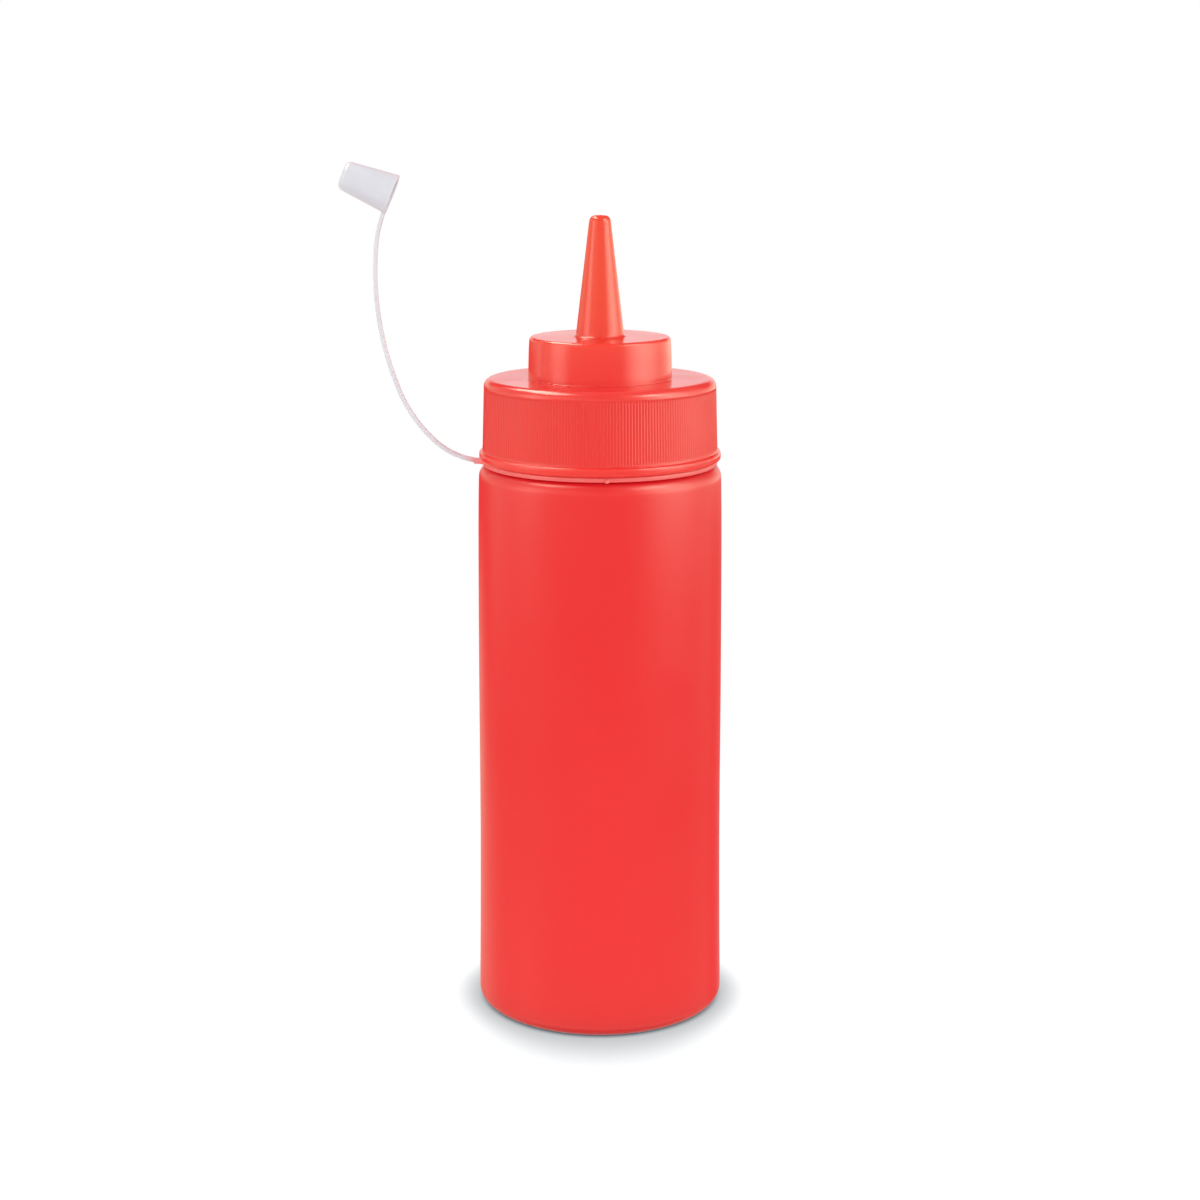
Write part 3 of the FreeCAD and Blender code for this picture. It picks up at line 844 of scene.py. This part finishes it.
def painted_contact_shade(radius, angle):
    """A painted shadow on the floor: dark where the foot's rounding meets it, then a soft
    edge whose reach grows from SHADE_SIDE to SHADE_FRONT with the fourth power of the
    cosine from the front."""
    front = np.clip(-np.sin(angle), 0, 1) ** 4
    reach = SHADE_SIDE + (SHADE_FRONT - SHADE_SIDE) * front
    away = eased((radius - FOOT_RADIUS) / reach, -0.15, 1)
    out = eased(radius, CONTACT_RADIUS, FOOT_RADIUS + 0.5 * MM)
    soft = SHADE_LEVEL + (1 - SHADE_LEVEL) * away
    foot_shadow = FOOT_SHADOW_LEVEL + (1 - FOOT_SHADOW_LEVEL) * out
    return soft * foot_shadow


def floor_finish():
    """A pale floor that mostly glows, dimmed by the painted shadow kept on its points.
    Past FLOOR_SOLID from the bottle's axis it turns transparent."""
    material, shader = new_finish("pale_floor")
    nodes, links = material.node_tree.nodes, material.node_tree.links
    shader.inputs["Base Color"].default_value = (0.04, 0.06, 0.07, 1)
    shader.inputs["Roughness"].default_value = 0.9
    shader.inputs["Specular IOR Level"].default_value = 0.1
    shader.inputs["Emission Strength"].default_value = 1.0
    shade = nodes.new("ShaderNodeAttribute")
    shade.attribute_name = "shade"
    links.new(shade.outputs["Color"], shader.inputs["Emission Color"])
    place = nodes.new("ShaderNodeTexCoord")
    away = nodes.new("ShaderNodeVectorMath")
    away.operation = "LENGTH"
    fade = nodes.new("ShaderNodeMapRange")
    fade.interpolation_type = "SMOOTHSTEP"
    fade.inputs["From Min"].default_value = FLOOR_SOLID
    fade.inputs["From Max"].default_value = FLOOR_END
    clear = nodes.new("ShaderNodeBsdfTransparent")
    mix = nodes.new("ShaderNodeMixShader")
    links.new(place.outputs["Object"], away.inputs[0])
    links.new(away.outputs["Value"], fade.inputs["Value"])
    links.new(fade.outputs["Result"], mix.inputs["Fac"])
    links.new(shader.outputs["BSDF"], mix.inputs[1])
    links.new(clear.outputs["BSDF"], mix.inputs[2])
    links.new(mix.outputs["Shader"], nodes["Material Output"].inputs["Surface"])
    return material


def make_floor():
    """A polar grid under the bottle, with the painted shadow as a colour on every point."""
    radii = CONTACT_RADIUS + (FLOOR_END - CONTACT_RADIUS) * np.linspace(0, 1, 60) ** 2
    radii = np.concatenate([[HUB_RADIUS], radii])[:, None]
    angle = np.linspace(0, 2 * np.pi, 120, endpoint=False)[None, :]
    flat = np.full((len(radii), angle.size), bottle_low.z)
    points = np.stack([radii * np.cos(angle), radii * np.sin(angle), flat], -1).reshape(-1, 3)
    middle = np.array([[0, 0, bottle_low.z]])
    floor = make_piece(
        "studio_floor",
        np.concatenate([points, middle]),
        wrapped_quads(len(radii), angle.size)[:, ::-1],
        pole_fan(len(points), 0, angle.size, upward=True),
    )
    # The painted shadow is stored as a grey colour on the floor's points.
    level = np.append(painted_contact_shade(radii, angle).ravel(), HUB_SHADOW_LEVEL)[:, None]
    colour = np.concatenate([np.repeat(level, 3, 1), np.ones_like(level)], 1)
    colour = np.clip(colour - (1 - level) * np.array(SHADE_TINT), 0, 1)
    shade = floor.data.color_attributes.new("shade", "FLOAT_COLOR", "POINT")
    shade.data.foreach_set("color", colour.ravel())
    floor.data.materials.append(floor_finish())
    floor.visible_glossy = False
    return floor


floor = make_floor()


# %% [markdown]
# ## The surround
# Satin walls mirror a narrow band about the horizon, and the rims and flat tops mirror
# what is above and behind. For each compass direction, in degrees to the right of the
# camera's side, LEVELS gives the light at a few elevations, in degrees above the
# horizon. A picture of a real studio could do this, but these few levels say what each
# wall, rim and top mirrors, and can be set one by one.

# %% Levels for reflections
BACK = [
    (-23, 0.8), (-12, 0.3), (-3, 0.4), (3, 1.12),
    (11, 1.12), (16, 0.1), (36, 0.1), (50, 0.6),
]
LEVELS = {
    -180: BACK,
    -152: [(-23, 0.4), (-20, 0.9), (-15, 0.9), (-10, 0), (-2, 0.2), (3, 1.0), (11, 1.0), (16, 0.1)],
    -135: [(-23, 0.8), (-19, 0.8), (-15, 0), (-9, 0.1), (0, 0.8), (5, 1.0), (50, 0.6)],
    -110: [(-23, 0.8), (-18, 0.5), (-15.5, 0), (-13, 0), (-10.5, 1.5), (5, 1.4), (50, 0.6)],
    -70: [(-25, 2.0), (-21.5, 0.9), (-16, 0.1), (-10, 1.0), (5, 0.9), (50, 0.8)],
    -40: [(-25, 2.0), (-21.5, 0.8), (-16, 0.3), (-9, 1.0), (4, 1.2), (12, 1.9), (28, 1.9), (40, 0.7)],
    0: [(-25, 1.9), (-21.5, 0.65), (-16, 0.45), (-8, 0.8), (5, 1.2), (12, 1.2), (24, 0.6), (50, 0.6)],
    40: [(-25, 1.8), (-21.5, 0.7), (-14, 0.4), (-8, 0.8), (5, 1.2), (50, 0.8)],
    75: [(-25, 1.6), (-21.5, 0.6), (-12, 0), (-8, 0.3), (5, 0.9), (50, 0.8)],
    115: [(-25, 0.8), (-20, 0.4), (-14, 0.4), (-9, 0.7), (-5, 2.1), (5, 1.8), (50, 0.6)],
    140: [(-23, 0.15), (-12, 0.15), (-9, 0.1), (-5, 2.1), (3, 1.4), (11, 1.0), (16, 0.1), (50, 0.5)],
    180: BACK,
}
STEEP = (-50, 0.6)
LEVEL_MOST = 2.2
EVEN_LEVEL = 0.9
FILL_LEVEL = 1.35
FILL_SIDES = [(-0.62, -0.62, 0.48), (0.62, -0.62, 0.48)]
FILL_EDGE = (0.93, 0.975)
LEAST_RED = 0.85
BLUE_SHARE = 0.75
BEHIND = 100
FAR_BEHIND = 160
print(f"surround: {len(LEVELS)} directions")


def level_ramp(tree, height, direction):
    """The level against the sine of the elevation, eased between stops, with STEEP as
    the lowest stop everywhere. It is warm: blue has only BLUE_SHARE of it, except far
    behind, where the flat tops mirror it, and red doesn't fall below LEAST_RED behind
    the bottle."""
    stops = [STEEP, *LEVELS[direction]]
    least = LEAST_RED if abs(direction) > BEHIND else 0
    share = 1.0 if abs(direction) > FAR_BEHIND else BLUE_SHARE
    scaled = tree.nodes.new("ShaderNodeMapRange")
    scaled.inputs["From Min"].default_value = -1
    ramp = tree.nodes.new("ShaderNodeValToRGB")
    ramp.color_ramp.interpolation = "EASE"
    while len(ramp.color_ramp.elements) < len(stops):
        ramp.color_ramp.elements.new(0.5)
    for element, (elevation, level) in zip(ramp.color_ramp.elements, stops):
        colour = np.array([max(level, least), level, level * share]) / LEVEL_MOST
        element.position = (np.sin(np.radians(elevation)) + 1) / 2
        element.color = (*colour, 1)
    tree.links.new(height, scaled.inputs["Value"])
    tree.links.new(scaled.outputs["Result"], ramp.inputs["Fac"])
    return ramp.outputs["Color"]


def math_node(tree, operation, *values):
    """A Math node on sockets or numbers."""
    node = tree.nodes.new("ShaderNodeMath")
    node.operation = operation
    for socket, value in zip(node.inputs, values):
        if isinstance(value, (int, float)):
            socket.default_value = value
        else:
            tree.links.new(value, socket)
    return node.outputs["Value"]


def fill_light(tree, direction):
    """The even level with both fills added: FILL_LEVEL within about 18 degrees of each
    one's direction. FILL_EDGE has the cosines between which its edge fades."""
    total = EVEN_LEVEL / LEVEL_MOST
    for side in FILL_SIDES:
        towards = tree.nodes.new("ShaderNodeVectorMath")
        towards.operation = "DOT_PRODUCT"
        towards.inputs[1].default_value = np.array(side) / np.linalg.norm(side)
        near = tree.nodes.new("ShaderNodeMapRange")
        near.interpolation_type = "SMOOTHSTEP"
        near.inputs["From Min"].default_value = FILL_EDGE[0]
        near.inputs["From Max"].default_value = FILL_EDGE[1]
        near.inputs["To Max"].default_value = FILL_LEVEL / LEVEL_MOST
        tree.links.new(direction, towards.inputs[0])
        tree.links.new(towards.outputs["Value"], near.inputs["Value"])
        total = math_node(tree, "ADD", near.outputs["Result"], total)
    return total


def make_surround():
    """Plain white to the camera. As a light, an even level with two fills. In
    reflections, LEVELS blended from one compass direction to the next. Light this even
    needs no sampling of its own, and without it the thin strap renders more cleanly."""
    world = bpy.data.worlds.new("studio")
    bpy.context.scene.world = world
    world.use_nodes = True
    tree = world.node_tree
    place = tree.nodes.new("ShaderNodeTexCoord")
    parts = tree.nodes.new("ShaderNodeSeparateXYZ")
    tree.links.new(place.outputs["Generated"], parts.inputs["Vector"])
    towards = math_node(tree, "MULTIPLY", parts.outputs["Y"], -1.0)
    compass = math_node(tree, "ARCTAN2", parts.outputs["X"], towards)
    compass = math_node(tree, "DEGREES", compass)
    directions = list(LEVELS)
    level = level_ramp(tree, parts.outputs["Z"], directions[0])
    for before, direction in zip(directions, directions[1:]):
        ramp = level_ramp(tree, parts.outputs["Z"], direction)
        share = tree.nodes.new("ShaderNodeMapRange")
        share.interpolation_type = "SMOOTHSTEP"
        share.inputs["From Min"].default_value = before
        share.inputs["From Max"].default_value = direction
        tree.links.new(compass, share.inputs["Value"])
        level = colour_mix(tree, share.outputs["Result"], level, ramp)
    path = tree.nodes.new("ShaderNodeLightPath")
    white = [1 / LEVEL_MOST] * 3
    even = fill_light(tree, place.outputs["Generated"])
    mirrored = colour_mix(tree, path.outputs["Is Glossy Ray"], even, level)
    seen = colour_mix(tree, path.outputs["Is Camera Ray"], mirrored, white)
    tree.links.new(seen, tree.nodes["Background"].inputs["Color"])
    tree.nodes["Background"].inputs["Strength"].default_value = LEVEL_MOST
    world.cycles.sampling_method = "NONE"


make_surround()
bpy.context.scene.view_settings.view_transform = "Standard"


# %% Soft boxes
WARM_WHITE = (1.0, 1.0, 0.8)
BOTTLE_MIDDLE = (0, 0, 0.18)


def feather(tree, part, edge):
    """1 in the middle of a lamp's side and 0 at its ends, with a soft edge that takes
    the given share of the side."""
    off_middle = math_node(tree, "ABSOLUTE", math_node(tree, "SUBTRACT", part, 0.5))
    fall = tree.nodes.new("ShaderNodeMapRange")
    fall.interpolation_type = "SMOOTHSTEP"
    fall.inputs["From Min"].default_value = 0.5
    fall.inputs["From Max"].default_value = 0.5 - edge
    tree.links.new(off_middle, fall.inputs["Value"])
    return fall.outputs["Result"]


def soft_box(name, place, aim, size, radiance, edges):
    """A rectangular lamp at place that faces aim, its edges feathered, for reflections
    alone. An area lamp of A square metres gives a radiance of its power / (pi A)."""
    light = bpy.data.lights.new(name, "AREA")
    light.shape = "RECTANGLE"
    light.size, light.size_y = size
    light.energy = radiance * np.pi * size[0] * size[1]
    light.color = WARM_WHITE
    light.use_nodes = True
    tree = light.node_tree
    spot = tree.nodes.new("ShaderNodeNewGeometry")
    parts = tree.nodes.new("ShaderNodeSeparateXYZ")
    tree.links.new(spot.outputs["Parametric"], parts.inputs["Vector"])
    across = feather(tree, parts.outputs["X"], edges[0])
    along = feather(tree, parts.outputs["Y"], edges[1])
    strength = math_node(tree, "MULTIPLY", across, along)
    tree.links.new(strength, tree.nodes["Emission"].inputs["Strength"])
    lamp = bpy.data.objects.new(name, light)
    direction = Vector(aim) - Vector(place)
    lamp.location = place
    lamp.rotation_euler = direction.to_track_quat("-Z", "Y").to_euler()
    lamp.visible_camera = False
    lamp.visible_diffuse = False
    bpy.context.scene.collection.objects.link(lamp)
    print(f"{name}: {light.energy:.1f} W")
    return lamp


soft_box("top_box", (-0.6, 0.28, 1.2), (-0.6, 0.28, 0), (0.7, 1.6), 11.0, (0.25, 0.2))
soft_box("front_box", (0.71, -0.46, 0.9), BOTTLE_MIDDLE, (0.5, 0.5), 6.0, (0.25, 0.25))
soft_box("right_box", (0.81, -0.27, 0.66), (0, 0, 0.66), (1.4, 1.4), 5.0, (0.5, 0.11))
soft_box("left_box", (-0.8, -0.31, 0.36), (0, 0, 0.36), (0.8, 0.8), 3.1, (0.5, 0.3))

# %% [markdown]
# ## Camera
# The camera stands 0.62 m in front of the bottle's axis, a little higher than the tip
# cap, and looks down by 0.2 radians, about 11.5 degrees. A small shift of the lens puts
# the bottle where it stands in the frame.

# %% Camera
CAMERA_DISTANCE = 0.62067
CAMERA_HEIGHT = 0.25968
PITCH_DOWN = 0.2
FOCAL_LENGTH = 66.631
LENS_SHIFT = -0.0439
camera_data = bpy.data.cameras.new("studio_camera")
camera_data.lens = FOCAL_LENGTH
camera_data.sensor_width = 36.0
camera_data.shift_y = LENS_SHIFT
camera = bpy.data.objects.new("studio_camera", camera_data)
camera.location = (0, -CAMERA_DISTANCE, CAMERA_HEIGHT)
camera.rotation_euler = (np.pi / 2 - PITCH_DOWN, 0, 0)
bpy.context.scene.collection.objects.link(camera)
bpy.context.scene.camera = camera
print(f"camera: {camera_data.lens:.1f} mm lens")
